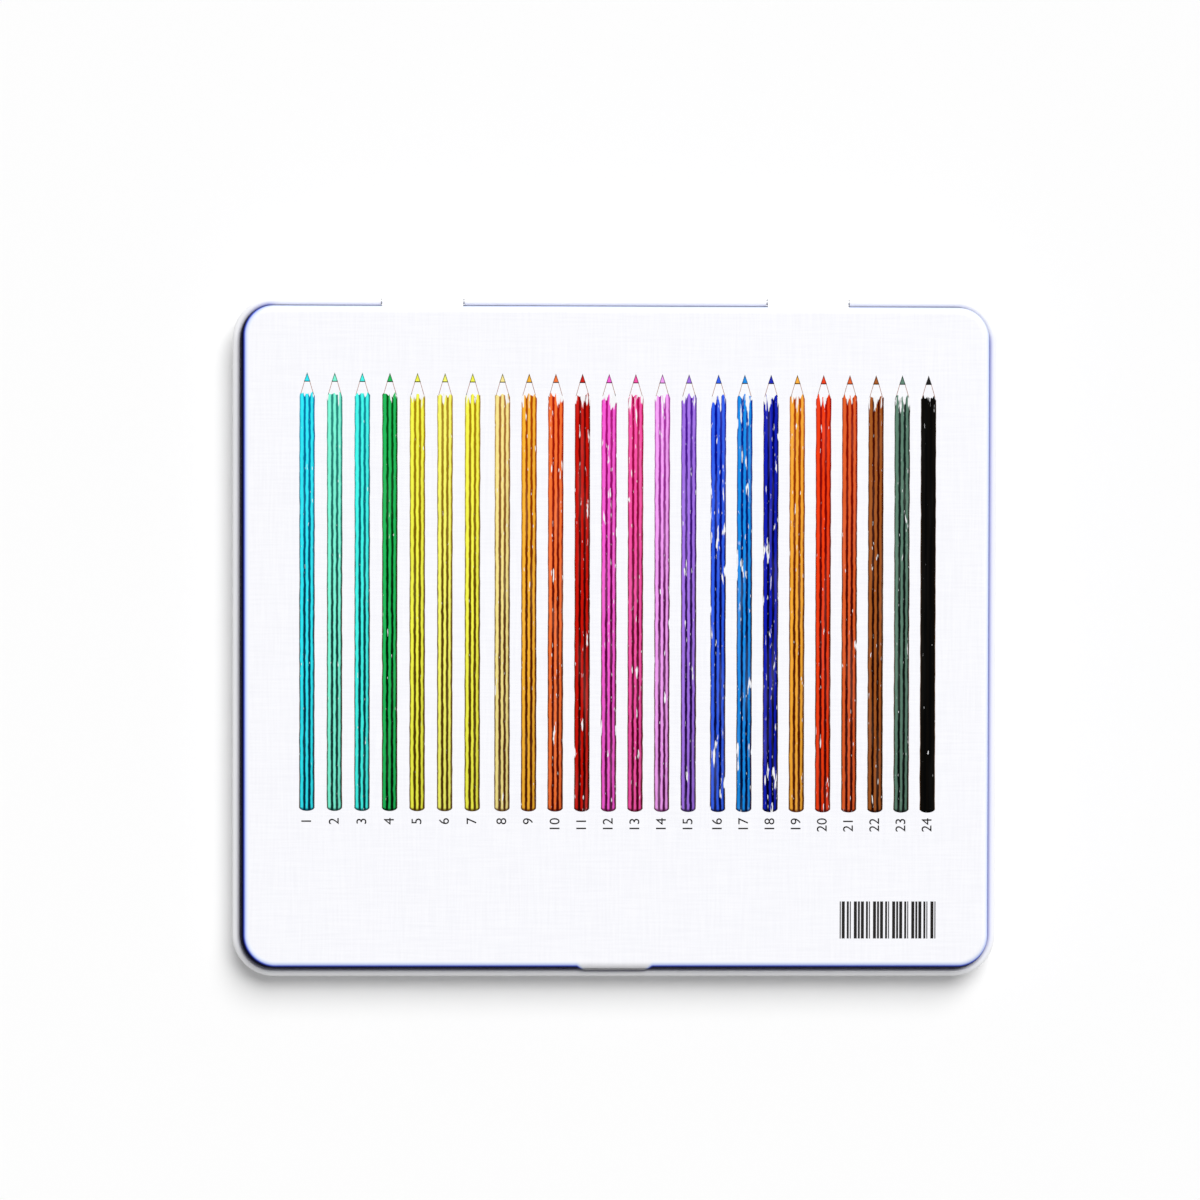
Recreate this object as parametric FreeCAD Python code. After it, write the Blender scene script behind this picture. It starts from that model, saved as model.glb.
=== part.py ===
"""Hinged pencil tin with a thermoformed tray and one layer of sharpened pencils.

The closed tin lies on its lid, as it does when its printed underside is shown.
Origin: middle of the lid's outer face. +Z up, out of the printed underside.
+X along the row of pencils, +Y towards the hinge. Millimetres.
"""
import FreeCAD, Part
import math
import os

V = FreeCAD.Vector

# Pencils
pencil_count = 24
pencil_length = 174.0
pencil_flats = 7.0           # across the flats of the hexagon
pencil_edge_ease = 0.12      # taken off the hexagon's edges
core_diameter = 3.5
core_glue_gap = 0.04         # glue film round the core
point_angle = 21.0           # full angle of the sharpened cone
point_blunt = 0.6            # diameter left on the lead's tip
round_sides = 12             # facets of a pencil's cone and core, few because it repeats
pencil_gap = 0.28            # between one pencil and the next
pencil_end_gap = 0.3         # at each end of a pencil, in its trough

# Tinplate shells
sheet = 0.3
tin_height = 13.0            # closed, over both faces
corner_radius = 8.8          # of the base, seen from above
base_edge_radius = 2.0
lid_edge_radius = 2.5
lid_clearance = 0.4          # between the base's wall and the lid's skirt
hem_height = 1.2             # of the base's rim, folded flat inwards
cut_past = 0.6               # how far a cut runs past the sheet that it goes through

# Hinge
hinge_height = 7.6           # of the pins and the bead, above the lid's face
pin_diameter = 1.4
pin_play = 0.05              # round the pin, in the bead and in the tongue
pin_grip = 6.0               # length of pin held in the bead on each side
pin_end_gap = 0.2            # past each end of the pin, inside the bead
tongue_width = 22.0
tongue_spacing = 105.0       # middle to middle
tongue_wrap = 235.0          # degrees of curl round the pin
tongue_bend_radius = 0.3
tongue_side_clearance = 0.4
notch_clearance = 0.35       # between the tongue's curl and the notched skirt

# Opening rib on the base's front wall
rib_length = 20.0
rib_taper = 2.0              # length of each tapered end
rib_height = 1.5
rib_proud = 0.5
rib_root = 0.1               # depth of the rib's form in the wall behind it

# Tray
tray_sheet = 0.4
tray_clearance = 0.3         # to the base's hem
tray_seat_gap = 0.1          # under the troughs
trough_clearance = 0.3       # round a pencil's flats
ridge_width = 1.0            # of the flat ridge between two troughs
deck_rise = 2.0              # of the tray's deck above the pencils' axes
deck_side = 3.36             # width of the deck beside the pencils
deck_front = 2.5             # width of the deck at the pencils' butt ends
deck_back = 1.2              # width of the deck at the pencils' points
lip_height = 2.5             # of the lip turned down round the deck
pocket_butt_radius = 0.3
pocket_point_radius = 4.0

# Foam sheet
foam_gap = 0.3               # to the pencils
foam_seat_gap = 0.1          # to the lid
foam_side_gap = 1.0          # to the base's hem
foam_swing_gap = 0.5         # to the base's rim as it swings

# Sizes that follow
pencil_apothem = pencil_flats / 2
pencil_corner = pencil_apothem / math.cos(math.pi / 6) - pencil_edge_ease
pitch = 2 * pencil_corner + pencil_gap
point_slope = math.tan(math.radians(point_angle / 2))
pocket_width = pencil_count * pitch
pocket_length = pencil_length + 2 * pencil_end_gap
hem_thickness = 2 * sheet
tray_inset = hem_thickness + tray_clearance
base_width = pocket_width + 2 * (deck_side + tray_inset)
base_depth = pocket_length + deck_front + deck_back + 2 * tray_inset
pocket_middle = (deck_front - deck_back) / 2
curl_inner = pin_diameter / 2 + pin_play
curl_outer = curl_inner + sheet
hinge_reach = lid_clearance + curl_outer
hinge_y = base_depth / 2 + hinge_reach
trough_apothem = pencil_apothem + trough_clearance
axis_height = sheet + tray_seat_gap + tray_sheet + trough_apothem
deck_height = axis_height + deck_rise
base_wall_height = tin_height - lid_edge_radius


def arc(centre, radius, start, end):
    """Arc in the XZ plane, from one angle in degrees to another, about a point (x, z)."""
    points = []
    for degrees in (start, (start + end) / 2, end):
        turn = math.radians(degrees)
        points.append(V(centre[0] + radius * math.cos(turn), 0, centre[1] + radius * math.sin(turn)))
    return Part.Arc(*points)


def section(parts):
    """Closed wire in the XZ plane through points (x, z) and arcs, in order."""
    edges = []
    first = last = None
    for part in parts:
        if isinstance(part, tuple):
            start = end = V(part[0], 0, part[1])
        else:
            start, end = part.StartPoint, part.EndPoint
        if last is not None and last.distanceToPoint(start) > 1e-6:
            edges.append(Part.LineSegment(last, start).toShape())
        if not isinstance(part, tuple):
            edges.append(part.toShape())
        first = first or start
        last = end
    if last.distanceToPoint(first) > 1e-6:
        edges.append(Part.LineSegment(last, first).toShape())
    return Part.Wire(edges)


def rounded_rectangle(width, depth, front_radius, back_radius):
    """Closed wire on z = 0, centred on the origin, from the middle of its right side."""
    half_w = width / 2
    half_d = depth / 2
    corners = (
        (half_w, half_d, 0, back_radius),
        (-half_w, half_d, 90, back_radius),
        (-half_w, -half_d, 180, front_radius),
        (half_w, -half_d, 270, front_radius),
    )
    start = last = V(half_w, 0, 0)
    edges = []
    for x, y, turned, radius in corners:
        centre = V(x - math.copysign(radius, x), y - math.copysign(radius, y), 0)
        spots = []
        for degrees in (turned, turned + 45, turned + 90):
            turn = math.radians(degrees)
            spots.append(centre + V(math.cos(turn), math.sin(turn), 0) * radius)
        edges.append(Part.LineSegment(last, spots[0]).toShape())
        edges.append(Part.Arc(*spots).toShape())
        last = spots[2]
    edges.append(Part.LineSegment(last, start).toShape())
    return Part.Wire(edges)


def prism(wire, low, high):
    """Solid over a flat wire, between two heights."""
    solid = Part.Face(wire).extrude(V(0, 0, high - low))
    return solid.translated(V(0, 0, low))


def pan(profile, floor_inset):
    """Drawn sheet pan: a wall section swept round the base's outline, and the floor that it closes.

    The section's x counts outwards from the base's outer wall, and its floor ends floor_inset inside.
    """
    path = rounded_rectangle(base_width, base_depth, corner_radius, corner_radius)
    wall = path.makePipeShell([profile.translated(V(base_width / 2, 0, 0))], True, False)
    floor_radius = corner_radius - floor_inset
    outline = rounded_rectangle(
        base_width - 2 * floor_inset, base_depth - 2 * floor_inset, floor_radius, floor_radius
    )
    return wall.fuse(prism(outline, 0, sheet)).removeSplitter()


def turned_over(shape):
    """From the open base, floor down, to its place in the closed tin, which lies on its lid."""
    placed = shape.copy()
    placed.rotate(V(0, 0, 0), V(0, 1, 0), 180)
    placed.translate(V(0, 0, tin_height))
    return placed


def tongue_places():
    """Middles of the two hinges along X."""
    return (-tongue_spacing / 2, tongue_spacing / 2)


def block(middle, width, low_y, high_y, low_z, high_z):
    """Box centred on a place along X."""
    corner = V(middle - width / 2, low_y, low_z)
    return Part.makeBox(width, high_y - low_y, high_z - low_z, corner)


def base_shell():
    """Base pan, floor down: edge radius, wall, hemmed rim, opening rib and two curled hinge tongues."""
    floor_inset = base_edge_radius + sheet
    edge = (-base_edge_radius, base_edge_radius)
    hem_end = base_wall_height - hem_height
    profile = section([
        (-floor_inset, 0),
        arc(edge, base_edge_radius, -90, 0),
        (0, base_wall_height),
        (-hem_thickness, base_wall_height),
        (-hem_thickness, hem_end),
        (-sheet, hem_end),
        arc(edge, base_edge_radius - sheet, 0, -90),
        (-floor_inset, sheet),
    ])
    shell = pan(profile, floor_inset)
    for middle in tongue_places():
        shell = with_tongue(shell, middle)
    return with_rib(shell)


def with_tongue(shell, middle):
    """Lances a tongue out of the back wall and curls it round the hinge pin."""
    axis = (hinge_y, tin_height - hinge_height)
    wall = base_depth / 2
    bend = (wall + tongue_bend_radius, axis[1] - curl_outer - tongue_bend_radius)
    bend_outer = tongue_bend_radius + sheet
    curl_end = tongue_wrap - 90
    run = section([
        (wall - sheet, bend[1]),
        arc(bend, bend_outer, 180, 90),
        arc(axis, curl_inner, -90, curl_end),
        arc(axis, curl_outer, curl_end, -90),
        arc(bend, tongue_bend_radius, 90, 180),
    ])
    tongue = Part.Face(run).extrude(V(0, -tongue_width, 0))
    tongue.rotate(V(0, 0, 0), V(0, 0, 1), 90)
    tongue.translate(V(middle - tongue_width / 2, 0, 0))
    curl_length = math.radians(tongue_wrap) * (curl_inner + curl_outer) / 2 + hinge_reach
    window = block(
        middle, tongue_width, wall - sheet - cut_past, wall + cut_past, bend[1], bend[1] + curl_length
    )
    return shell.cut(window).fuse(tongue).removeSplitter()


def with_rib(shell):
    """Presses the opening rib out of the front wall, one sheet thick all over."""
    front = -base_depth / 2
    low = base_edge_radius
    shell = shell.fuse(rib_form(front, rib_length, low, low + rib_height))
    pocket = rib_form(
        front + sheet, rib_length - 2 * sheet, low + sheet, low + rib_height - sheet
    )
    return shell.cut(pocket).removeSplitter()


def rib_form(back, length, low, high):
    """Tapered bar that stands rib_proud in front of a plane y = back, and runs a little behind it."""
    half = length / 2
    root = back + rib_root
    plan = Part.makePolygon([
        V(-half, root, low),
        V(-half, back, low),
        V(-half + rib_taper, back - rib_proud, low),
        V(half - rib_taper, back - rib_proud, low),
        V(half, back, low),
        V(half, root, low),
        V(-half, root, low),
    ])
    return Part.Face(plan).extrude(V(0, 0, high - low))


def lid_shell():
    """Lid pan, face down: edge radius, skirt and a bead rolled tight outwards, open for the hinges."""
    skirt = lid_clearance + sheet
    floor_inset = lid_edge_radius + sheet - skirt
    edge = (skirt - lid_edge_radius, lid_edge_radius)
    bead = (skirt + curl_inner, hinge_height)
    roll_end = math.degrees(math.acos(curl_inner / curl_outer)) - 180
    profile = section([
        (-floor_inset, 0),
        arc(edge, lid_edge_radius, -90, 0),
        arc(bead, curl_outer, roll_end, 180),
        arc(edge, lid_edge_radius - sheet, 0, -90),
        (-floor_inset, sheet),
    ])
    shell = pan(profile, floor_inset)
    back = base_depth / 2
    for middle in tongue_places():
        notch = block(
            middle,
            tongue_width + 2 * tongue_side_clearance,
            back,
            hinge_y + curl_outer + cut_past,
            hinge_height - curl_outer - notch_clearance,
            hinge_height + curl_outer + cut_past,
        )
        shell = shell.cut(notch).cut(hinge_rod(middle, curl_inner, pin_end_gap))
    return shell


def hinge_rod(middle, radius, longer=0.0):
    """Straight rod along one hinge's axis, from bead to bead, longer at each end by a given length."""
    length = tongue_width + 2 * (tongue_side_clearance + pin_grip + longer)
    return Part.makeCylinder(radius, length, V(middle - length / 2, hinge_y, hinge_height), V(1, 0, 0))


def trough_wave(inset):
    """Region above the troughs, which follow the pencils' lower flats, grown by inset, as a wire."""
    flat = math.tan(math.pi / 6)
    side_slope = math.tan(math.pi / 3)
    low = axis_height - trough_apothem - inset
    half_low = (trough_apothem + inset) * flat
    half_ridge = ridge_width / 2 - inset * flat
    high = low + (pitch / 2 - half_ridge - half_low) * side_slope
    edge = pocket_width / 2
    wave = []
    for i in range(pencil_count):
        x = -edge + (i + 0.5) * pitch
        reach = pitch / 2 - half_ridge
        wave += [(x - reach, high), (x - half_low, low), (x + half_low, low), (x + reach, high)]
    side = edge + tray_sheet + cut_past
    return section(wave + [(side, high), (side, tin_height), (-side, tin_height), (-side, high)])


def tray_pocket(grown):
    """Space of all the troughs, up to the deck, grown by a given thickness."""
    outline = rounded_rectangle(
        pocket_width + 2 * grown,
        pocket_length + 2 * grown,
        pocket_butt_radius + grown,
        pocket_point_radius + grown,
    )
    column = prism(outline, 0, deck_height).translated(V(0, pocket_middle, 0))
    wave = Part.Face(trough_wave(grown)).extrude(V(0, base_depth, 0))
    return column.common(wave.translated(V(0, -base_depth / 2, 0)))


def tray_rim(inset):
    """Block under the tray's deck, down to the edge of its lip, drawn in by a given thickness."""
    outer = tray_inset + inset
    radius = corner_radius - outer
    outline = rounded_rectangle(base_width - 2 * outer, base_depth - 2 * outer, radius, radius)
    return prism(outline, deck_height - lip_height, deck_height - inset)


def tray_insert():
    """Thermoformed tray: a deck with a turned-down lip, and the pencils' pocket sunk into it."""
    deck = tray_rim(0).cut(tray_rim(tray_sheet))
    return deck.fuse(tray_pocket(tray_sheet)).cut(tray_pocket(0)).removeSplitter()


def foam_sheet():
    """Soft pad on the lid's inner face, cut short of the arc that the base's rim swings through."""
    low = sheet + foam_seat_gap
    high = tin_height - axis_height - pencil_apothem - foam_gap
    inset = hem_thickness + foam_side_gap
    rim_in = hinge_reach + hem_thickness
    rim_down = hinge_height - (tin_height - base_wall_height)
    rim_swing = math.hypot(rim_in, rim_down)
    swing_at_top = math.sqrt(rim_swing ** 2 - (hinge_height - high) ** 2)
    back = hinge_y - swing_at_top - foam_swing_gap
    front = -base_depth / 2 + inset
    radius = corner_radius - inset
    outline = rounded_rectangle(base_width - 2 * inset, back - front, radius, radius)
    return prism(outline, low, high).translated(V(0, (back + front) / 2, 0))


def round_rod(start_radius, end_radius):
    """Faceted rod or cone as long as a pencil, along Y from the origin."""
    rings = []
    for y, radius in ((0, start_radius), (pencil_length, end_radius)):
        turns = [2 * math.pi * (k + 0.5) / round_sides for k in range(round_sides)]
        rings.append([V(radius * math.cos(turn), y, radius * math.sin(turn)) for turn in turns])
    start, end = rings
    faces = [Part.Face(Part.makePolygon(ring + ring[:1])) for ring in rings]
    for k in range(round_sides):
        j = (k + 1) % round_sides
        faces.append(Part.Face(Part.makePolygon([start[k], start[j], end[j], end[k], start[k]])))
    return Part.Solid(Part.Shell(faces))


def sharpened(rod):
    """Cuts a rod to the cone that a sharpener leaves."""
    tip = point_blunt / 2
    return rod.common(round_rod(tip + pencil_length * point_slope, tip))


def pencil_barrel():
    """Hexagonal wood casing, flats up and down, bored for the core and sharpened to a point."""
    half_ease = pencil_edge_ease * math.tan(math.pi / 3)
    corners = []
    for k in range(6):
        turn = k * math.pi / 3
        out = V(math.cos(turn), 0, math.sin(turn))
        along = V(-math.sin(turn), 0, math.cos(turn))
        corners += [out * pencil_corner - along * half_ease, out * pencil_corner + along * half_ease]
    casing = Part.Face(Part.makePolygon(corners + corners[:1])).extrude(V(0, pencil_length, 0))
    bore = core_diameter / 2 + core_glue_gap
    return sharpened(casing).cut(round_rod(bore, bore))


def pencil_core():
    """Round coloured core, flush with the butt end and sharpened with the casing."""
    return sharpened(round_rod(core_diameter / 2, core_diameter / 2))


def pencil_place(number):
    """Butt end of a pencil in its trough, in the open base, so that number 1 ends up on the left."""
    x = (pencil_count - 1) * pitch / 2 - number * pitch
    return V(x, pocket_middle - pencil_length / 2, axis_height)


def nodes():
    """Every piece by name, in its place in the closed tin."""
    left, right = tongue_places()
    pieces = {
        "base_shell": turned_over(base_shell()),
        "lid_shell": lid_shell(),
        "hinge_pin_left": hinge_rod(left, pin_diameter / 2),
        "hinge_pin_right": hinge_rod(right, pin_diameter / 2),
        "tray_insert": turned_over(tray_insert()),
        "foam_sheet": foam_sheet(),
    }
    barrel = pencil_barrel()
    core = pencil_core()
    for number in range(pencil_count):
        place = pencil_place(number)
        name = f"pencil_{number + 1:02d}"
        pieces[name + "_barrel"] = turned_over(barrel.translated(place))
        pieces[name + "_core"] = turned_over(core.translated(place))
    return pieces


os.makedirs("parts", exist_ok=True)
for name, shape in nodes().items():
    shape.exportStep(f"parts/{name}.step")
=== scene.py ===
import math
import random

import bpy
from mathutils import Matrix, Vector


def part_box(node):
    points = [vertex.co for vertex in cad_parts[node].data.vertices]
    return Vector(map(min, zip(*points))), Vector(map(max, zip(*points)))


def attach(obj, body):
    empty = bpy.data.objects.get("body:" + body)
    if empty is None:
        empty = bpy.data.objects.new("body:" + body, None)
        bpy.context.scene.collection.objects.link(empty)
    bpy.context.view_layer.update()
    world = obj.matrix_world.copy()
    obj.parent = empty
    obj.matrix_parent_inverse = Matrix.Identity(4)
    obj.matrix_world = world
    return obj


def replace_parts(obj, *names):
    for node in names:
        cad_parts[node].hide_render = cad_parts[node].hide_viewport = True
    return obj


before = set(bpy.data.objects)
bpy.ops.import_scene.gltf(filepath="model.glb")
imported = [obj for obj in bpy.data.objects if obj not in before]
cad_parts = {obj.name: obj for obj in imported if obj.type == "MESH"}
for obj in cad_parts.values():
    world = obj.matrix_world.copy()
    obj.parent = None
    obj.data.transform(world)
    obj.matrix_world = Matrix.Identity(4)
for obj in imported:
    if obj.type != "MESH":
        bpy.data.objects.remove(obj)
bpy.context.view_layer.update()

# Lid: a shallow pan drawn from thin tinplate, its open edge rolled outwards into a bead.
# White gloss lacquer outside and over the bead, bare bright tin inside.
# The bead is cut away where the base's two tongues reach the hinge pins.
mm = 0.001
MERGE = 0.001 * mm
BEND_ANGLE = math.radians(35)


def node(tree, kind, inputs=None, **settings):
    """Adds a shader node with its settings, and joins or sets its inputs."""
    made = tree.nodes.new("ShaderNode" + kind)
    for key, value in settings.items():
        setattr(made, key, value)
    for key, value in (inputs or {}).items():
        if isinstance(value, bpy.types.NodeSocket):
            tree.links.new(value, made.inputs[key])
        else:
            made.inputs[key].default_value = value
    return made


def finish(name, values):
    """New material with the given values on its shader's own sockets."""
    material = bpy.data.materials.new(name)
    material.use_nodes = True
    shader = material.node_tree.nodes["Principled BSDF"]
    for key, value in values.items():
        shader.inputs[key].default_value = value
    return material, material.node_tree, shader


def colour(red, green, blue):
    """Colour of the given screen values, 0 to 255, as the shaders take it."""
    shares = [c / 255 for c in (red, green, blue)]
    return tuple(s / 12.92 if s <= 0.04045 else ((s + 0.055) / 1.055) ** 2.4 for s in shares) + (1.0,)


def noise(tree, scale, stretch=(1, 1, 1), detail=2.0):
    """Noise over the piece's own place, scale per metre, finer along an axis with a larger stretch."""
    place = node(tree, "TexCoord").outputs["Object"]
    drawn = node(tree, "Mapping", {"Vector": place, "Scale": stretch}).outputs["Vector"]
    return node(tree, "TexNoise", {"Vector": drawn, "Scale": scale, "Detail": detail}).outputs["Fac"]


def reckon(tree, operation, first, second=0.0, third=0.0):
    """Result of one sum on numbers or sockets."""
    return node(tree, "Math", {0: first, 1: second, 2: third}, operation=operation).outputs[0]


def between(tree, factor, low, high):
    """Colour between two others."""
    return node(tree, "Mix", {0: factor, 6: low, 7: high}, data_type="RGBA").outputs[2]


def ramp(tree, factor, stops, interpolation="LINEAR"):
    """Colour or grey from a row of (place, value) stops."""
    made = node(tree, "ValToRGB", {"Fac": factor})
    made.color_ramp.interpolation = interpolation
    while len(made.color_ramp.elements) < len(stops):
        made.color_ramp.elements.new(1.0)
    for element, (place, value) in zip(made.color_ramp.elements, stops):
        element.position = place
        element.color = value if isinstance(value, tuple) else (value, value, value, 1.0)
    return made.outputs["Color"]


def join(tree, socket, shader, name):
    tree.links.new(socket, shader.inputs[name])


def emboss(tree, shader, height, depth):
    """Raises the surface by a height pattern, depth in metres."""
    raised = node(tree, "Bump", {"Height": height, "Strength": 1.0, "Distance": depth})
    join(tree, raised.outputs["Normal"], shader, "Normal")


def white_lacquer():
    """Sprayed and baked gloss lacquer, very slightly uneven."""
    material, tree, shader = finish("white_lacquer", {
        "Roughness": 0.3, "Coat Weight": 0.3, "Coat Roughness": 0.12,
    })
    cloud = noise(tree, 45, detail=3.0)
    join(tree, between(tree, cloud, colour(240, 241, 244), colour(247, 247, 249)), shader, "Base Color")
    emboss(tree, shader, noise(tree, 900), 0.004 * mm)
    return material


def bare_tin():
    """Bright tinplate with the fine streaks of the rolling mill."""
    material, tree, shader = finish("bare_tin", {"Metallic": 1.0})
    streaks = noise(tree, 60, stretch=(1, 40, 1), detail=4.0)
    join(tree, between(tree, streaks, colour(186, 187, 186), colour(222, 222, 220)), shader, "Base Color")
    join(tree, reckon(tree, "MULTIPLY_ADD", streaks, 0.16, 0.24), shader, "Roughness")
    return material


def pick(piece):
    """Makes a piece the only selected one."""
    bpy.ops.object.select_all(action="DESELECT")
    piece.select_set(True)
    bpy.context.view_layer.objects.active = piece


def modify(piece, kind, **settings):
    """Adds a modifier with its settings to a piece, and applies it."""
    pick(piece)
    bpy.ops.object.modifier_add(type=kind)
    for key, value in settings.items():
        setattr(piece.modifiers[0], key, value)
    bpy.ops.object.modifier_apply(modifier=piece.modifiers[0].name)


def merged_copy(node_name, piece_name):
    """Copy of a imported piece, picked, with its loose triangles merged into one surface."""
    piece = bpy.data.objects.new(piece_name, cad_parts[node_name].data.copy())
    bpy.context.scene.collection.objects.link(piece)
    pick(piece)
    bpy.ops.object.mode_set(mode="EDIT")
    bpy.ops.mesh.select_all(action="SELECT")
    bpy.ops.mesh.remove_doubles(threshold=MERGE)
    bpy.ops.mesh.customdata_custom_splitnormals_clear()
    bpy.ops.object.mode_set(mode="OBJECT")
    return piece


def skin(node_name, piece_name, choose, *materials):
    """Copy of a sheet shell, smooth over its bends, with the finish that choose gives for each face."""
    piece = merged_copy(node_name, piece_name)
    bpy.ops.object.shade_smooth_by_angle(angle=BEND_ANGLE)
    modify(piece, "WEIGHTED_NORMAL")
    piece.data.materials.clear()
    for material in materials:
        piece.data.materials.append(material)
    for face in piece.data.polygons:
        face.material_index = choose(face.center, face.normal)
    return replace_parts(piece, node_name)


def outwards(place, half, corner):
    """Direction out of a rounded rectangle of the given half sizes, and zero over the tin's floor."""
    reach = []
    for value, size in zip(place[:2], half[:2]):
        past = max(abs(value) - (size - corner), 0.0)
        reach.append(math.copysign(past, value))
    return Vector((*reach, 0.0))


lid_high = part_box("lid_shell")[1]
LID_CORNER = 11.3 * mm
BEAD_LOW = 6.5 * mm
FACING_DOWN = -0.5


def lid_finish(middle, normal):
    outside = normal.dot(outwards(middle, lid_high, LID_CORNER)) > 0 or normal.z < FACING_DOWN
    return 0 if outside or middle.z > BEAD_LOW else 1


lacquer = white_lacquer()
tin = bare_tin()
lid = skin("lid_shell", "lid_pan", lid_finish, lacquer, tin)
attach(lid, "lid")

# Hinge pins: two straight lengths of drawn steel wire, left bare.
# Each is pushed into the lid's bead on both sides of a notch, and one of the base's tongues curls round it.
steel, tree, shader = finish("drawn_wire", {"Metallic": 1.0, "Roughness": 0.32})
draw_marks = noise(tree, 300, stretch=(0.02, 6, 6), detail=3.0)
join(tree, between(tree, draw_marks, colour(150, 151, 154), colour(196, 197, 199)), shader, "Base Color")
for name in ("hinge_pin_left", "hinge_pin_right"):
    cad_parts[name].material_slots[0].material = steel

# Foam pad: a die-cut sheet of white closed-cell foam, laid in the lid so that the pencils don't rattle.
# The pencils have pressed shallow furrows into it.
FOAM_GRAIN = 1.3 * mm
FURROW_DEPTH = 0.2 * mm
CELLS_PER_METRE, CELL_DEPTH = 1100.0, 0.12 * mm
PENCILS = 24

pad = merged_copy("foam_sheet", "foam_pad")
modify(pad, "REMESH", mode="VOXEL", voxel_size=FOAM_GRAIN, use_smooth_shade=True)
pad_low, pad_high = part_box("foam_sheet")
pencil_x = []
for i in range(PENCILS):
    left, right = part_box(f"pencil_{i + 1:02d}_core")
    pencil_x.append((left.x + right.x) / 2)
pitch = (pencil_x[-1] - pencil_x[0]) / (len(pencil_x) - 1)
for vertex in pad.data.vertices:
    if vertex.co.z > (pad_low.z + pad_high.z) / 2:
        turn = 2 * math.pi * (vertex.co.x - pencil_x[0]) / pitch
        vertex.co.z -= FURROW_DEPTH * (1 + math.cos(turn))
pad.data.materials.clear()
foam, tree, shader = finish("closed_cell_foam", {"Roughness": 0.9, "Sheen Weight": 0.15})
cells = node(tree, "TexVoronoi", {
    "Vector": node(tree, "TexCoord").outputs["Object"], "Scale": CELLS_PER_METRE,
}).outputs["Distance"]
join(tree, between(tree, cells, colour(214, 214, 210), colour(240, 240, 236)), shader, "Base Color")
emboss(tree, shader, reckon(tree, "ADD", cells, noise(tree, 2500)), CELL_DEPTH)
pad.data.materials.append(foam)
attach(pad, "lid")
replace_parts(pad, "foam_sheet")

# Base: the deeper pan that carries the pencils, drawn from the same tinplate and shown underside up.
# Blue lacquer outside, then a white ground that thins out over the edge, a linen grain and clear varnish; the
# edge and wall colours also carry painted reflection and shade.
# Two tongues lanced out of the back wall curl round the hinge pins, and a rib on the front wall opens it.
base_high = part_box("base_shell")[1]
WALL_Y = 90.05 * mm
BASE_CORNER = 8.8 * mm
HALF_BASE = Vector((base_high.x, WALL_Y, 0))
GROUND_HALF = Vector((99.9 * mm, 88.45 * mm, 0))
# Shift of the white ground: painted shade, so that the dark edge band is wider at the front and left, away
# from the key light.
GROUND_SHIFT_TO_SHADE = Vector((0.68 * mm, 0.6 * mm, 0))
GROUND_CORNER = 7.2 * mm
GROUND_FADE = 2.3 * mm
TONGUE_X, TONGUE_HALF = 52.5 * mm, 11 * mm
# The rib's white ground stops below a set height, so its lower half takes the dark edge band as painted
# shade.
RIB_HALF, RIB_TAPER, RIB_PAINTED_SHADE_LOW = 10.5 * mm, 3 * mm, 10.72 * mm
WALL_TOP, WALL_FADE = 11.3 * mm, 0.6 * mm
# Wall colours with painted light: a pale lit blue at the back and right, a deep shaded blue at the front and
# left.
WALL_PAINTED_LIT, WALL_PAINTED_HALF_LIT, WALL_PAINTED_SHADE = colour(226, 230, 252), colour(86, 102, 216), colour(14, 17, 86)
THREADS_PER_METRE, THREAD_DRAWN, THREAD_DEPTH = 1700, 0.05, 0.01 * mm
FLAT, UNDERSIDE = 0.98, -0.1
NEAR_TOP, PAST_WALL = 0.1 * mm, 0.02 * mm


def threads(tree):
    """Two crossing sets of uneven threads, 0 to 1, as in linen."""
    warp = noise(tree, THREADS_PER_METRE, stretch=(1, THREAD_DRAWN, 1), detail=1.0)
    weft = noise(tree, THREADS_PER_METRE, stretch=(THREAD_DRAWN, 1, 1), detail=1.0)
    return reckon(tree, "MULTIPLY_ADD", warp, 0.5, reckon(tree, "MULTIPLY", weft, 0.5))


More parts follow.
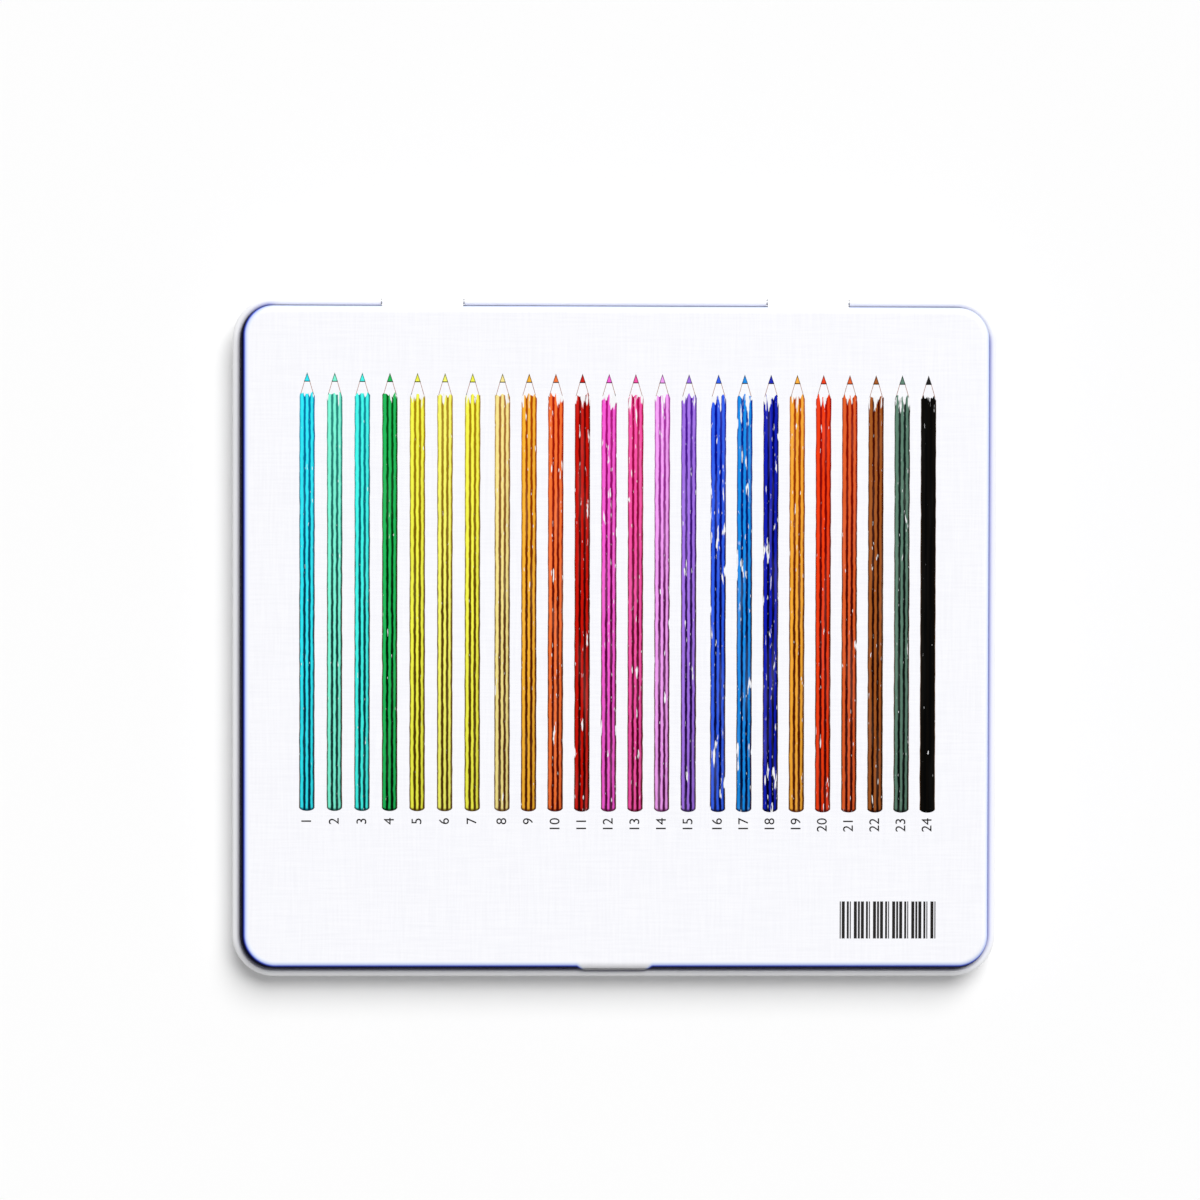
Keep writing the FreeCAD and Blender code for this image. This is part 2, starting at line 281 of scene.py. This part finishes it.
def white_ground_and_painted_shade(tree):
    """How far the white ground has thinned out over the edge, and how much plain wall shows. The ground sits
    shifted so that it thins sooner at the front and left, painting shade there; over the rib it stays white
    only above a set height, so the rib's lower half shows the dark band as painted shade.
    """
    place = node(tree, "TexCoord").outputs["Object"]
    shifted = node(tree, "VectorMath", {0: place, 1: GROUND_SHIFT_TO_SHADE}, operation="SUBTRACT").outputs[0]
    folded = node(tree, "VectorMath", {0: shifted}, operation="ABSOLUTE").outputs[0]
    inner = GROUND_HALF - Vector((GROUND_CORNER, GROUND_CORNER, -1))
    past = node(tree, "VectorMath", {0: folded, 1: inner}, operation="SUBTRACT").outputs[0]
    past = node(tree, "VectorMath", {0: past, 1: (0, 0, 0)}, operation="MAXIMUM").outputs[0]
    reach = node(tree, "VectorMath", {0: past}, operation="LENGTH").outputs["Value"]
    fade = node(tree, "MapRange", {
        "Value": reach, "From Min": GROUND_CORNER, "From Max": GROUND_CORNER + GROUND_FADE,
    }).outputs[0]
    x, y, z = node(tree, "SeparateXYZ", {0: place}).outputs
    wall = node(tree, "MapRange", {
        "Value": z, "From Min": WALL_TOP, "From Max": WALL_TOP - WALL_FADE,
    }).outputs[0]
    aside = reckon(tree, "ABSOLUTE", x)
    from_tongue = reckon(tree, "ABSOLUTE", reckon(tree, "SUBTRACT", aside, TONGUE_X))
    tongue = reckon(tree, "MULTIPLY", reckon(tree, "LESS_THAN", from_tongue, TONGUE_HALF),
                    reckon(tree, "GREATER_THAN", y, GROUND_HALF.y - GROUND_CORNER))
    near_rib = node(tree, "MapRange", {
        "Value": aside, "From Min": RIB_HALF - RIB_TAPER, "From Max": RIB_HALF, "To Min": 1.0, "To Max": 0.0,
    }, interpolation_type="SMOOTHSTEP").outputs[0]
    on_front = reckon(tree, "LESS_THAN", y, GROUND_CORNER - GROUND_HALF.y)
    # Only above the rib's set height does the ground stay white; below it, painted shade.
    on_front = reckon(tree, "MULTIPLY", on_front, reckon(tree, "GREATER_THAN", z, RIB_PAINTED_SHADE_LOW))
    bridged = reckon(tree, "MAXIMUM", tongue, reckon(tree, "MULTIPLY", near_rib, on_front))
    return (node(tree, "Math", {0: each, 1: bridged}, operation="SUBTRACT", use_clamp=True).outputs[0]
            for each in (fade, wall))


def printed_outside_with_painted_shade(name, gloss):
    """White ground over deep blue lacquer, under varnish of the given gloss. The edge ramp paints a pale blue
    reflection and a near-black band of shade, and the wall is painted pale where lit at the back and right
    and deep blue in shade at the front and left.
    """
    material, tree, shader = finish(name, {"Roughness": 0.42, "Specular IOR Level": gloss})
    grain = ramp(tree, threads(tree), [(0.35, 0.0), (0.65, 1.0)])
    white = between(tree, grain, colour(244, 244, 249), colour(249, 249, 253))
    thinned, wall = white_ground_and_painted_shade(tree)
    # Painted reflection and shade over the edge: white, a pale blue glow, blue, then near-black at the
    # outermost edge.
    edge = ramp(tree, thinned, [
        (0.0, colour(247, 248, 253)), (0.22, colour(236, 241, 254)), (0.45, colour(196, 210, 253)),
        (0.59, colour(84, 104, 216)), (0.71, colour(18, 22, 100)), (0.81, colour(3, 4, 32)),
    ])
    shown = between(tree, reckon(tree, "GREATER_THAN", thinned, 0.0), white, edge)
    # Painted light on the wall: pale where the ground thins least, at the back and right, deep blue in
    # painted shade at the front and left.
    plain = ramp(tree, thinned, [(0.44, WALL_PAINTED_LIT), (0.5, WALL_PAINTED_HALF_LIT), (0.9, WALL_PAINTED_SHADE)])
    join(tree, between(tree, wall, shown, plain), shader, "Base Color")
    emboss(tree, shader, grain, THREAD_DEPTH)
    return material


def base_finish(middle, normal):
    if normal.z > FLAT and middle.z > base_high.z - NEAR_TOP:
        return 0
    outside = normal.dot(outwards(middle, HALF_BASE, BASE_CORNER)) > 0 and normal.z > UNDERSIDE
    return 1 if outside or abs(middle.y) > WALL_Y + PAST_WALL else 2


base = skin(
    "base_shell", "base_pan", base_finish,
    printed_outside_with_painted_shade("printed_floor", 0.3), printed_outside_with_painted_shade("lacquered_edge_painted_shade", 0.02), tin,
)
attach(base, "base")

# Printed row: one drawn pencil for each colour in the tin, points towards the hinge.
# Flat ink on the white ground, tinted by hand in strokes that leave gaps and don't quite keep to the lines.
# The row stands in three groups and runs very slightly out of square with the tin.
INKS = (
    colour(52, 242, 255), colour(130, 255, 222), colour(72, 255, 242), colour(36, 192, 94),
    colour(252, 254, 80), colour(255, 255, 112), colour(255, 254, 82), colour(255, 236, 148),
    colour(255, 186, 54), colour(255, 120, 54), colour(208, 20, 6), colour(255, 96, 218),
    colour(255, 86, 172), colour(254, 168, 254), colour(170, 120, 240), colour(50, 98, 244),
    colour(24, 146, 240), colour(18, 32, 186), colour(255, 178, 58), colour(248, 64, 16),
    colour(232, 98, 44), colour(170, 92, 36), colour(98, 134, 116), colour(6, 4, 2),
)
ROW_GROUPS = ((7, -83.6 * mm, 7.468 * mm), (8, -30.7 * mm, 7.228 * mm), (9, 27.9 * mm, 7.139 * mm))
ROW_X = [first + i * step for count, first, step in ROW_GROUPS for i in range(count)]
ROW_DROP = 0.4 * mm
ROUGH_STROKES = [0.25] * 7 + [0.5] * 2 + [0.8] * 6 + [1.0] * 3 + [0.6] * 5 + [0.08]
DRAWN_WIDTH = 4.15 * mm
DRAWN_BOTTOM, DRAWN_SHOULDER, DRAWN_LEAD, DRAWN_TIP = -47.04 * mm, 66.0 * mm, 69.3 * mm, 71.85 * mm
INK_THICKNESS = 0.02 * mm
INK_COLUMNS, INK_ROWS = 12, 60
INK_FINISH = {"Roughness": 0.5, "Specular IOR Level": 0.12}
RAGGED, RAGGED_REACH = (-0.55, 0.4), 1 * mm
SCALLOPS, SCALLOP_DEPTH = 3, 0.45 * mm
BUTT_WIDTH, BUTT_ROUND = 0.96, 0.55
AT_END = 0.01 * mm
WAVER_SIZE, WAVER_REACH = 3 * mm, 0.25 * mm
BARE_GROUND, PALE_STROKE, DRAWN_LINE = colour(246, 246, 248), colour(250, 244, 236), colour(118, 88, 62)
FACES_ACROSS = [
    (0.0, 0.0), (0.05, 0.3), (0.09, 0.9), (0.17, 1.0), (0.25, 0.85), (0.28, 0.0),
    (0.4, 0.0), (0.43, 0.9), (0.5, 1.0), (0.57, 0.85), (0.6, 0.0),
    (0.72, 0.0), (0.75, 0.85), (0.83, 0.95), (0.89, 0.6), (0.92, 0.0),
]
OUTLINE_ACROSS = [(0.0, 0.8), (0.025, 0.8), (0.05, 0.0), (0.95, 0.0), (0.975, 0.8)]
OUTLINE_ALONG = [(0.45, 1.0), (0.9, 0.35)]
# Along each drawn pencil, from butt to point: the dark lines lighten and the whole ink brightens towards the
# points, painted light falling from the hinge side over the print.
DEPTH_AND_PAINTED_LIGHT_ALONG = [(0.0, (0.07, 0.03, 0.05, 1)), (0.5, (0.1, 0.05, 0.08, 1)), (1.0, (0.42, 0.25, 0.4, 1))]
PAINTED_LIGHT_ALONG = [(0.0, 0.86), (0.45, 1.0)]
BUTT_LINE = [(0.003, 0.0), (0.008, 1.0)]
WANDER, OUTLINE_WANDER = 0.1, 0.4
NARROW_AT_BUTT, NARROW_AT_POINT = 2.2, 0.7
UNEVEN_INK, THIN_INK, THIN_PALENESS = [(0.3, 0.92), (0.5, 1.0)], [(0.5, 0.0), (0.7, 0.2)], 0.2
GAP_LIMIT, GAP_ROUGHNESS, GAP_EDGE = 0.76, -0.12, 0.04
GAPS_AT_POINT = [(0.955, 0.0), (0.995, 0.18)]
SPECK_LIMIT, SPECK_ROUGHNESS, SPECK_FULL = 0.735, -0.05, 0.755
HAND_SEED = 24
hand = random.Random(HAND_SEED)


def joined(pieces, name):
    """Makes one named piece of several."""
    pick(pieces[0])
    for piece in pieces:
        piece.select_set(True)
    bpy.ops.object.join()
    whole = bpy.context.object
    whole.name = name
    return whole


def row_of(shape, name, ragged_above=None):
    """Repeats a flat drawn shape for every colour as one print, with each copy's ink in its points."""
    copies = []
    for i, ink in enumerate(INKS):
        made = bpy.data.objects.new(f"{name}_{i}", shape.data.copy())
        bpy.context.scene.collection.objects.link(made)
        if ragged_above is not None:
            for vertex in made.data.vertices:
                if vertex.co.y > ragged_above:
                    vertex.co.y += hand.uniform(*RAGGED) * mm
        drop = ROW_DROP * (ROW_X[i] - ROW_X[0]) / (ROW_X[-1] - ROW_X[0])
        made.data.transform(Matrix.Translation((ROW_X[i], -drop, base_high.z)))
        shades = made.data.color_attributes.new("ink", "FLOAT_COLOR", "POINT")
        for entry in shades.data:
            entry.color = ink[:3] + (ROUGH_STROKES[i],)
        copies.append(made)
    bpy.data.objects.remove(shape)
    return joined(copies, name)


def press(row):
    """Gives a flat print its thickness and puts it on the base."""
    modify(row, "SOLIDIFY", thickness=INK_THICKNESS, offset=1.0)
    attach(row, "base")


def times(tree, first, second):
    """Product of two colours."""
    mix = node(tree, "Mix", {0: 1.0, 6: first, 7: second}, data_type="RGBA", blend_type="MULTIPLY")
    return mix.outputs[2]


def tinted_ink():
    """Ink in strokes along the pencil: three bright faces, dark lines between them, and bare gaps; darker
    towards the butt and brighter towards the point as painted light.
    """
    material, tree, shader = finish("tinted_ink", {"Roughness": 0.5, "Specular IOR Level": 0.02})
    ink = node(tree, "Attribute", attribute_name="ink")
    across, along = node(tree, "SeparateXYZ", {0: node(tree, "TexCoord").outputs["UV"]}).outputs[:2]
    unsteady = noise(tree, 900, stretch=(1, 0.5, 0), detail=3.0)
    wander = reckon(tree, "MULTIPLY_ADD", unsteady, WANDER, -WANDER / 2)
    faces = ramp(tree, reckon(tree, "ADD", across, wander), FACES_ACROSS)
    narrowing = reckon(tree, "MULTIPLY_ADD", along, NARROW_AT_POINT - NARROW_AT_BUTT, NARROW_AT_BUTT)
    faces = reckon(tree, "POWER", faces, narrowing)
    end = ramp(tree, along, BUTT_LINE)
    deep = times(tree, ink.outputs["Color"], ink.outputs["Color"])
    # The dark lines' depth and the ink's brightness along the pencil carry painted light: both darker towards
    # the butt.
    deep = times(tree, deep, ramp(tree, along, DEPTH_AND_PAINTED_LIGHT_ALONG))
    tinted = between(tree, times(tree, faces, end), deep, ink.outputs["Color"])
    tinted = times(tree, tinted, ramp(tree, along, PAINTED_LIGHT_ALONG))
    uneven = ramp(tree, noise(tree, 900, stretch=(1, 0.08, 1), detail=3.0), UNEVEN_INK)
    tinted = times(tree, tinted, uneven)
    thin = ramp(tree, noise(tree, 700, stretch=(1, 0.06, 1), detail=3.0), THIN_INK)
    thin = reckon(tree, "MULTIPLY", thin, ink.outputs["Alpha"])
    paler = between(tree, THIN_PALENESS, ink.outputs["Color"], PALE_STROKE)
    tinted = between(tree, thin, tinted, paler)
    line = ramp(tree, reckon(tree, "MULTIPLY_ADD", wander, OUTLINE_WANDER, across), OUTLINE_ACROSS)
    line = times(tree, line, ramp(tree, along, OUTLINE_ALONG))
    tinted = between(tree, line, tinted, DRAWN_LINE)
    strokes = noise(tree, 1100, stretch=(1, 0.13, 1), detail=3.0)
    limit = reckon(tree, "MULTIPLY_ADD", ink.outputs["Alpha"], GAP_ROUGHNESS, GAP_LIMIT)
    limit = reckon(tree, "SUBTRACT", limit, ramp(tree, along, GAPS_AT_POINT))
    gaps = node(tree, "MapRange", {
        "Value": strokes, "From Min": limit, "From Max": reckon(tree, "ADD", limit, GAP_EDGE),
    }).outputs[0]
    specks = node(tree, "MapRange", {
        "Value": noise(tree, 2600, stretch=(1, 0.13, 1)),
        "From Min": reckon(tree, "MULTIPLY_ADD", ink.outputs["Alpha"], SPECK_ROUGHNESS, SPECK_LIMIT),
        "From Max": SPECK_FULL,
    }).outputs[0]
    bare = reckon(tree, "MAXIMUM", gaps, specks)
    join(tree, between(tree, bare, tinted, BARE_GROUND), shader, "Base Color")
    return material


bpy.ops.object.select_all(action="DESELECT")
bpy.ops.mesh.primitive_grid_add(x_subdivisions=INK_COLUMNS, y_subdivisions=INK_ROWS, size=1)
drawn = bpy.context.object
drawn.data.transform(Matrix.Diagonal((DRAWN_WIDTH, DRAWN_SHOULDER - DRAWN_BOTTOM, 1, 1)))
drawn.data.transform(Matrix.Translation((0, (DRAWN_SHOULDER + DRAWN_BOTTOM) / 2, 0)))
for vertex in drawn.data.vertices:
    share = vertex.co.x / DRAWN_WIDTH
    if vertex.co.y > DRAWN_SHOULDER - AT_END:
        vertex.co.y -= SCALLOP_DEPTH * math.cos(2 * math.pi * SCALLOPS * (share + 0.5))
    elif vertex.co.y < DRAWN_BOTTOM + AT_END:
        rise = 0.5 - math.sqrt(max(0.25 - (BUTT_WIDTH * share) ** 2, 0))
        vertex.co.y += DRAWN_WIDTH * rise * BUTT_ROUND
barrels = row_of(drawn, "printed_barrels", DRAWN_SHOULDER - RAGGED_REACH)
waver = bpy.data.textures.new("unsteady_hand", "CLOUDS")
waver.noise_scale = WAVER_SIZE
modify(barrels, "DISPLACE", texture=waver, texture_coords="GLOBAL", direction="X", strength=WAVER_REACH)
barrels.data.materials.append(tinted_ink())
press(barrels)

# Points of the drawn pencils: a thin outline of the sharpened wood, printed in brown ink.
# Open towards the barrel, with the white ground left bare inside.
OUTLINE = 0.15 * mm
POINT_WIDTH, POINT_TAPER, POINT_OVERLAP = 3.7 * mm, 1.1 * mm, 0.5 * mm
bpy.ops.object.select_all(action="DESELECT")
bpy.ops.mesh.primitive_plane_add(size=1)
point = bpy.context.object
point.data.transform(Matrix.Diagonal((POINT_WIDTH, DRAWN_LEAD - DRAWN_SHOULDER + POINT_OVERLAP, 1, 1)))
point.data.transform(Matrix.Translation((0, (DRAWN_LEAD + DRAWN_SHOULDER) / 2, 0)))
for vertex in point.data.vertices:
    if vertex.co.y > DRAWN_LEAD:
        vertex.co.x -= math.copysign(POINT_TAPER, vertex.co.x)
pick(point)
bpy.ops.object.mode_set(mode="EDIT")
bpy.ops.mesh.select_mode(type="FACE")
bpy.ops.mesh.select_all(action="SELECT")
bpy.ops.mesh.inset(thickness=OUTLINE)
bpy.ops.mesh.delete(type="FACE")
bpy.ops.object.mode_set(mode="OBJECT")
for face in point.data.polygons:
    face.select = face.center.y < DRAWN_SHOULDER
bpy.ops.object.mode_set(mode="EDIT")
bpy.ops.mesh.delete(type="FACE")
bpy.ops.object.mode_set(mode="OBJECT")
points = row_of(point, "printed_points")
brown, tree, shader = finish("brown_line", INK_FINISH)
join(tree, between(tree, noise(tree, 700), colour(140, 88, 70), colour(190, 146, 126)), shader, "Base Color")
points.data.materials.append(brown)
press(points)

# Leads of the drawn pencils: a small pointed patch at the tip of each, printed in its colour.
# A darker line of the same ink runs round it.
LEAD_HALF, LEAD_LINE = 0.86 * mm, 0.19 * mm
LEAD_LINE_SHARE, MOTTLE = 0.22, 0.85
TRIANGLE_HEIGHT, TRIANGLE_HALF = 1.5, math.sin(math.pi / 3)


def plain_ink(name, share):
    """Ink of the row without strokes, darkened to a share."""
    material, tree, shader = finish(name, INK_FINISH)
    mottle = ramp(tree, noise(tree, 1200), [(0.3, MOTTLE * share), (0.7, share)])
    ink = node(tree, "Attribute", attribute_name="ink").outputs["Color"]
    join(tree, times(tree, ink, mottle), shader, "Base Color")
    return material


bpy.ops.object.select_all(action="DESELECT")
bpy.ops.mesh.primitive_circle_add(vertices=3, radius=1, fill_type="NGON")
lead = bpy.context.object
lead.data.transform(Matrix.Translation((0, -min(v.co.y for v in lead.data.vertices), 0)))
lead_height = DRAWN_TIP - DRAWN_LEAD
lead.data.transform(Matrix.Diagonal((LEAD_HALF / TRIANGLE_HALF, lead_height / TRIANGLE_HEIGHT, 1, 1)))
lead.data.transform(Matrix.Translation((0, DRAWN_LEAD, 0)))
lead.data.materials.append(plain_ink("lead_line", LEAD_LINE_SHARE))
lead.data.materials.append(plain_ink("lead_ink", 1.0))
pick(lead)
bpy.ops.object.mode_set(mode="EDIT")
bpy.ops.mesh.select_mode(type="FACE")
bpy.ops.mesh.select_all(action="SELECT")
bpy.ops.mesh.inset(thickness=LEAD_LINE)
lead.active_material_index = 1
bpy.ops.object.material_slot_assign()
bpy.ops.object.mode_set(mode="OBJECT")
leads = row_of(lead, "printed_leads")
press(leads)

# Printed numbers: a plain number under each drawn pencil, in black ink on the white ground.
# They read from the front towards the hinge.
NUMBER_TOP = -48.85 * mm
NUMBER_SIZE = 3.9 * mm
NUMBER_SMOOTHNESS = 4
black_ink, tree, shader = finish("black_ink", INK_FINISH)
join(tree, between(tree, noise(tree, 1500), colour(10, 9, 9), colour(34, 31, 30)), shader, "Base Color")
digits = []
for i, x in enumerate(ROW_X):
    bpy.ops.object.select_all(action="DESELECT")
    bpy.ops.object.text_add()
    text = bpy.context.object
    text.data.body = str(i + 1)
    text.data.size = NUMBER_SIZE
    text.data.align_x = "RIGHT"
    text.data.align_y = "CENTER"
    text.data.extrude = INK_THICKNESS / 2
    text.data.resolution_u = NUMBER_SMOOTHNESS
    bpy.ops.object.convert(target="MESH")
    number = bpy.context.object
    number.data.transform(Matrix.Rotation(math.pi / 2, 4, "Z"))
    number.data.transform(Matrix.Translation((x, NUMBER_TOP, base_high.z + INK_THICKNESS / 2)))
    digits.append(number)
numbers = joined(digits, "printed_numbers")
bpy.ops.object.mode_set(mode="EDIT")
bpy.ops.mesh.select_all(action="SELECT")
bpy.ops.mesh.remove_doubles(threshold=MERGE)
bpy.ops.mesh.normals_make_consistent(inside=False)
bpy.ops.object.mode_set(mode="OBJECT")
numbers.data.materials.clear()
numbers.data.materials.append(black_ink)
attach(numbers, "base")

# Printed bars: a plain block of upright bars in black ink, near the front right corner.
# Their order repeats and stands for nothing.
BARS_LEFT, BARS_RIGHT, BARS_LOW, BARS_HIGH = 61.25 * mm, 87.35 * mm, -81.73 * mm, -71.62 * mm
BAR_ORDER = "1011100110100011101"
BAR_COLUMNS = 95
bpy.ops.object.select_all(action="DESELECT")
bpy.ops.mesh.primitive_grid_add(x_subdivisions=BAR_COLUMNS, y_subdivisions=1, size=1)
bars = bpy.context.object
bars.name = "printed_bars"
bars.data.transform(Matrix.Diagonal((BARS_RIGHT - BARS_LEFT, BARS_HIGH - BARS_LOW, 1, 1)))
bars_middle = ((BARS_LEFT + BARS_RIGHT) / 2, (BARS_LOW + BARS_HIGH) / 2, base_high.z)
bars.data.transform(Matrix.Translation(bars_middle))
pick(bars)
for face in bars.data.polygons:
    column = int((face.center.x - BARS_LEFT) / (BARS_RIGHT - BARS_LEFT) * BAR_COLUMNS)
    face.select = BAR_ORDER[column % len(BAR_ORDER)] == "0"
bpy.ops.object.mode_set(mode="EDIT")
bpy.ops.mesh.select_mode(type="FACE")
bpy.ops.mesh.delete(type="FACE")
bpy.ops.object.mode_set(mode="OBJECT")
bars.data.materials.append(black_ink)
press(bars)

# Tray: one sheet of white polystyrene, thermoformed into a trough for each pencil.
# It is dropped loose into the base.
STYRENE_DEPTH = 2 * mm
styrene, tree, shader = finish("thermoformed_styrene", {
    "Roughness": 0.38, "Subsurface Weight": 0.08, "Subsurface Radius": (STYRENE_DEPTH,) * 3,
})
join(tree, between(tree, noise(tree, 25), colour(232, 233, 234), colour(242, 242, 243)), shader, "Base Color")
emboss(tree, shader, noise(tree, 1400), 0.008 * mm)
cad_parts["tray_insert"].material_slots[0].material = styrene

# Pencils: hexagonal cedar casings glued round a waxy coloured core, lacquered, then sharpened.
# The sharpener cuts through the lacquer in a scalloped line and bares the wood of the cone.
core_low, core_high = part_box("pencil_01_core")
casing_low, casing_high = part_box("pencil_01_barrel")
LENGTH = core_high.y - core_low.y
FLATS = casing_high.z - casing_low.z
CORE_RADIUS = 1.75 * mm
GLUE = 0.04 * mm
POINT_ANGLE = math.radians(10.5)
TIP_RADIUS = 0.3 * mm
EDGE_ROUND, EDGE_SEGMENTS = 0.35 * mm, 3
CONE_SIDES = 48
CONE_SMOOTH = math.radians(25)
ALONG_PENCIL = 0.05
LACQUER_THIN, LACQUER_THICK, CORE_DEEP = 0.8, 0.68, 0.7


def rod(name, sides, radius, end_radius, turn=0.0):
    """Cylinder or cone that lies along Y, as long as a pencil, with its butt at the origin."""
    bpy.ops.object.select_all(action="DESELECT")
    bpy.ops.mesh.primitive_cone_add(
        vertices=sides, radius1=radius, radius2=end_radius, depth=LENGTH, location=(0, 0, LENGTH / 2)
    )
    made = bpy.context.object
    bpy.ops.object.transform_apply(location=True)
    made.name = name
    made.data.transform(Matrix.Rotation(turn, 4, "Z"))
    made.data.transform(Matrix.Rotation(-math.pi / 2, 4, "X"))
    return made


def cut(piece, tool, operation):
    """Boolean of a piece with a tool, which is used up."""
    modify(piece, "BOOLEAN", object=tool, operation=operation, solver="EXACT")
    bpy.data.objects.remove(tool)


def sharpener():
    return rod("sharpener", CONE_SIDES, TIP_RADIUS + LENGTH * math.tan(POINT_ANGLE), TIP_RADIUS)


casing = rod("casing", 6, FLATS / math.sqrt(3), FLATS / math.sqrt(3), math.pi / 6)
pick(casing)
bpy.ops.object.mode_set(mode="EDIT")
bpy.ops.mesh.select_mode(type="EDGE")
bpy.ops.mesh.select_all(action="DESELECT")
bpy.ops.object.mode_set(mode="OBJECT")
for edge in casing.data.edges:
    first, last = (casing.data.vertices[v].co for v in edge.vertices)
    edge.select = abs(first.y - last.y) > LENGTH / 2
bpy.ops.object.mode_set(mode="EDIT")
bpy.ops.mesh.bevel(offset=EDGE_ROUND, segments=EDGE_SEGMENTS)
bpy.ops.object.mode_set(mode="OBJECT")
cut(casing, sharpener(), "INTERSECT")
cut(casing, rod("bore", CONE_SIDES, CORE_RADIUS + GLUE, CORE_RADIUS + GLUE), "DIFFERENCE")
core = rod("core", CONE_SIDES, CORE_RADIUS, CORE_RADIUS)
cut(core, sharpener(), "INTERSECT")
for piece in (casing, core):
    pick(piece)
    bpy.ops.object.shade_smooth_by_angle(angle=CONE_SMOOTH)


def cedar():
    """Bare incense cedar, grain along the pencil, combed by the sharpener's blade."""
    material, tree, shader = finish("bare_cedar", {"Roughness": 0.7})
    grain = noise(tree, 900, stretch=(1, 0.06, 1), detail=4.0)
    join(tree, between(tree, grain, colour(178, 128, 84), colour(228, 190, 146)), shader, "Base Color")
    emboss(tree, shader, noise(tree, 2400, stretch=(1, 0.3, 1)), 0.02 * mm)
    return material


def darker(shade, share):
    return tuple(c * share for c in shade[:3]) + (1.0,)


def pencil_lacquer(name, shade):
    """Several coats of gloss lacquer over the grain, in the pencil's colour."""
    material, tree, shader = finish(name, {"Roughness": 0.22, "Coat Weight": 0.5, "Coat Roughness": 0.08})
    dried, deep = darker(shade, LACQUER_THIN), darker(shade, LACQUER_THICK)
    coats = noise(tree, 350, stretch=(1, 0.1, 1), detail=3.0)
    join(tree, between(tree, coats, deep, dried), shader, "Base Color")
    emboss(tree, shader, noise(tree, 600, stretch=(1, 0.05, 1)), 0.01 * mm)
    return material


def waxy_core(name, shade):
    """Pigment in wax, cut matt by the sharpener."""
    material, tree, shader = finish(name, {"Roughness": 0.55})
    pigment = noise(tree, 1800, stretch=(1, 0.4, 1), detail=3.0)
    join(tree, between(tree, pigment, darker(shade, CORE_DEEP), shade), shader, "Base Color")
    return material


wood = cedar()
for i, shade in enumerate(INKS):
    number = f"{i + 1:02d}"
    place = Matrix.Translation((pencil_x[i], core_low.y, (core_low.z + core_high.z) / 2))
    barrel = bpy.data.objects.new(f"pencil_{number}_casing", casing.data.copy())
    lead = bpy.data.objects.new(f"pencil_{number}_lead", core.data.copy())
    for piece, kind in ((barrel, "barrel"), (lead, "core")):
        bpy.context.scene.collection.objects.link(piece)
        piece.data.transform(place)
        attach(piece, "base")
        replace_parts(piece, f"pencil_{number}_{kind}")
    barrel.data.materials.append(pencil_lacquer(f"lacquer_{number}", shade))
    barrel.data.materials.append(wood)
    for face in barrel.data.polygons:
        face.material_index = 0 if abs(face.normal.y) < ALONG_PENCIL else 1
    lead.data.materials.append(waxy_core(f"core_{number}", shade))
bpy.data.objects.remove(casing)
bpy.data.objects.remove(core)

# Studio: a plain white paper floor and an even soft surround, seen as white.
# One broad key light from the back right gives the soft shadow at the front and left.
FLOOR_SIZE, PAPER_WHITE = 6, (0.97, 0.97, 0.97, 1)
SURROUND = 0.31
KEY_FROM = Vector((0.3, 0.66, 1.0))
KEY_STRENGTH, KEY_SPREAD = 2.74, math.radians(40)
bpy.ops.object.select_all(action="DESELECT")
bpy.ops.mesh.primitive_plane_add(size=FLOOR_SIZE)
floor = bpy.context.object
floor.name = "floor"
paper, tree, shader = finish("floor_paper", {
    "Base Color": PAPER_WHITE, "Roughness": 0.9, "Specular IOR Level": 0.1,
})
floor.data.materials.append(paper)

world = bpy.data.worlds.new("surround")
bpy.context.scene.world = world
world.use_nodes = True
seen = node(world.node_tree, "LightPath").outputs
shown = reckon(world.node_tree, "MAXIMUM", seen["Is Camera Ray"], seen["Is Glossy Ray"])
shown = reckon(world.node_tree, "MAXIMUM", shown, seen["Is Transmission Ray"])
strength = reckon(world.node_tree, "MULTIPLY_ADD", shown, 1 - SURROUND, SURROUND)
world.node_tree.nodes["Background"].inputs["Color"].default_value = (1, 1, 1, 1)
world.node_tree.links.new(strength, world.node_tree.nodes["Background"].inputs["Strength"])

bpy.ops.object.light_add(type="SUN")
key = bpy.context.object
key.name = "key"
key.data.energy = KEY_STRENGTH
key.data.angle = KEY_SPREAD
key.rotation_euler = KEY_FROM.to_track_quat("Z", "Y").to_euler()

# Camera: a long lens high above the tin, a little to the left and to the back of its middle.
# It looks almost straight down, leaning and turned by a degree or less.
AIM = Vector((-4.18 * mm, 10.3 * mm, 13 * mm))
LEAN = Vector((math.tan(math.radians(-1.031)), math.tan(math.radians(0.829)), 1.0))
ROLL = math.radians(-0.115)
DISTANCE = 0.9048
LENS, SENSOR = 100, 36
NEAREST = 10 * mm
bpy.ops.object.camera_add()
camera = bpy.context.object
camera.data.lens = LENS
camera.data.sensor_width = SENSOR
back = LEAN.normalized()
right = Vector((math.sin(ROLL), math.cos(ROLL), 0)).cross(back).normalized()
turned = Matrix((right, back.cross(right), back)).transposed()
camera.rotation_euler = turned.to_euler()
camera.location = AIM + back * DISTANCE
camera.data.clip_start = NEAREST
bpy.context.scene.camera = camera
bpy.context.scene.view_settings.view_transform = "Standard"
